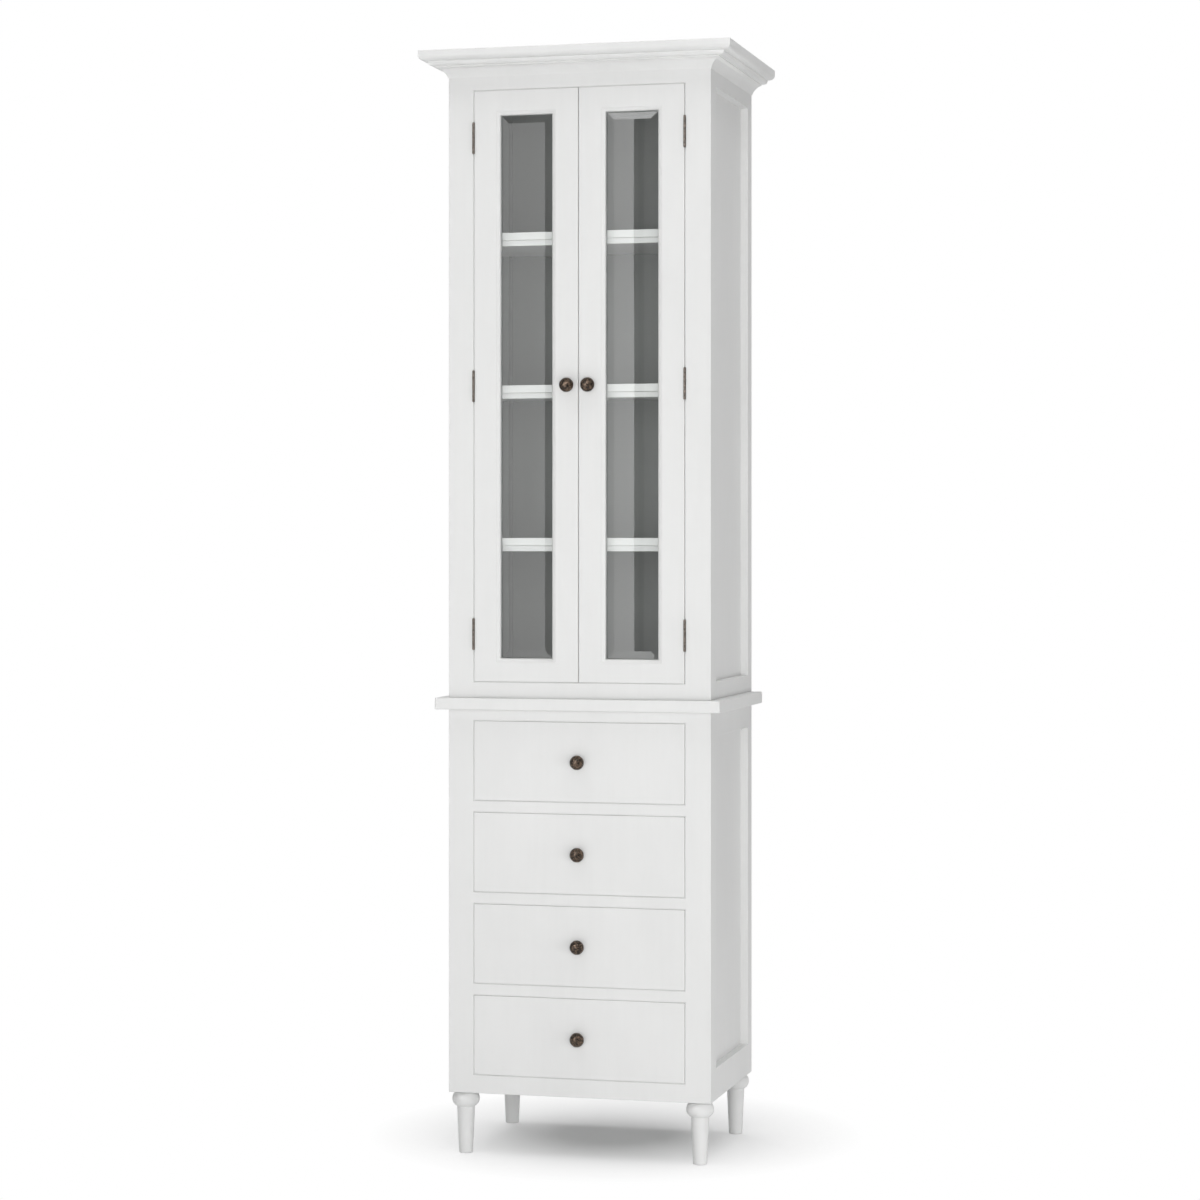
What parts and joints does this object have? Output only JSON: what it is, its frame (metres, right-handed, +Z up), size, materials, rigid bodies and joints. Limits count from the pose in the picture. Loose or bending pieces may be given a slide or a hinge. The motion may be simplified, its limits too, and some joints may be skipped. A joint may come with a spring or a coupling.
{
  "type": "apothecary cabinet",
  "caption": "Tall narrow painted cabinet with glazed double doors and shelves above a waist board, inset drawers below, a stepped crown and turned legs.",
  "frame": {"origin": "on the floor, under the middle of the whole object's box", "axes": "+Z up, +X to the right of the doors, -Y out of the front"},
  "size_m": [0.62, 0.428, 2.15],
  "materials": {
    "paint": "white satin paint on wood",
    "inner_paint": "thin white paint on wood, matt",
    "bare_wood": "bare planed wood",
    "bronze": "oil-rubbed antique bronze",
    "steel": "zinc plated",
    "glass": "clear, bevelled edge"
  },
  "bodies": {
    "case": {"upper_front_stiles": "paint", "upper_front_rails": "paint", "upper_side_frames": "paint", "upper_side_panels": "paint", "upper_back": "inner_paint", "upper_floor": "inner_paint", "upper_top": "paint", "shelf_upper": "inner_paint", "shelf_middle": "inner_paint", "shelf_lower": "inner_paint", "shelf_pins": "steel", "crown_front": "paint", "crown_sides": "paint", "hinge_frame_leaves": "bronze", "hinge_pins": "bronze", "door_catches": "bare_wood", "waist_board": "paint", "base_front_stiles": "paint", "base_front_rails": "paint", "base_side_frames": "paint", "base_side_panels": "paint", "base_back": "inner_paint", "base_floor": "inner_paint", "drawer_runners": "bare_wood", "legs": "paint", "leg_bolts": "steel"},
    "door_left": {"door_left_stiles": "paint", "door_left_rails": "paint", "door_left_glass": "glass", "door_left_beads": "paint", "door_left_knob": "bronze", "door_left_hinge_leaves": "bronze", "door_left_catch_plate": "steel"},
    "door_right": {"door_right_stiles": "paint", "door_right_rails": "paint", "door_right_glass": "glass", "door_right_beads": "paint", "door_right_knob": "bronze", "door_right_hinge_leaves": "bronze", "door_right_catch_plate": "steel"},
    "drawer_1": {"drawer_1_front": "paint", "drawer_1_sides": "bare_wood", "drawer_1_back": "bare_wood", "drawer_1_bottom": "bare_wood", "drawer_1_knob": "bronze"},
    "drawer_2": {"drawer_2_front": "paint", "drawer_2_sides": "bare_wood", "drawer_2_back": "bare_wood", "drawer_2_bottom": "bare_wood", "drawer_2_knob": "bronze"},
    "drawer_3": {"drawer_3_front": "paint", "drawer_3_sides": "bare_wood", "drawer_3_back": "bare_wood", "drawer_3_bottom": "bare_wood", "drawer_3_knob": "bronze"},
    "drawer_4": {"drawer_4_front": "paint", "drawer_4_sides": "bare_wood", "drawer_4_back": "bare_wood", "drawer_4_bottom": "bare_wood", "drawer_4_knob": "bronze"}
  },
  "joints": [
    {"name": "door_left_hinge", "type": "hinge", "parent": "case", "child": "door_left", "pos_m": [-0.21113, -0.1676, 1.4985], "axis": [0, 0, -1], "range_deg": [0, 170]},
    {"name": "door_right_hinge", "type": "hinge", "parent": "case", "child": "door_right", "pos_m": [0.21113, -0.1676, 1.4985], "axis": [0, 0, 1], "range_deg": [0, 170]},
    {"name": "drawer_1_slide", "type": "slide", "parent": "case", "child": "drawer_1", "axis": [0, -1, 0], "range_m": [0, 0.25]},
    {"name": "drawer_2_slide", "type": "slide", "parent": "case", "child": "drawer_2", "axis": [0, -1, 0], "range_m": [0, 0.25]},
    {"name": "drawer_3_slide", "type": "slide", "parent": "case", "child": "drawer_3", "axis": [0, -1, 0], "range_m": [0, 0.25]},
    {"name": "drawer_4_slide", "type": "slide", "parent": "case", "child": "drawer_4", "axis": [0, -1, 0], "range_m": [0, 0.25]}
  ]
}
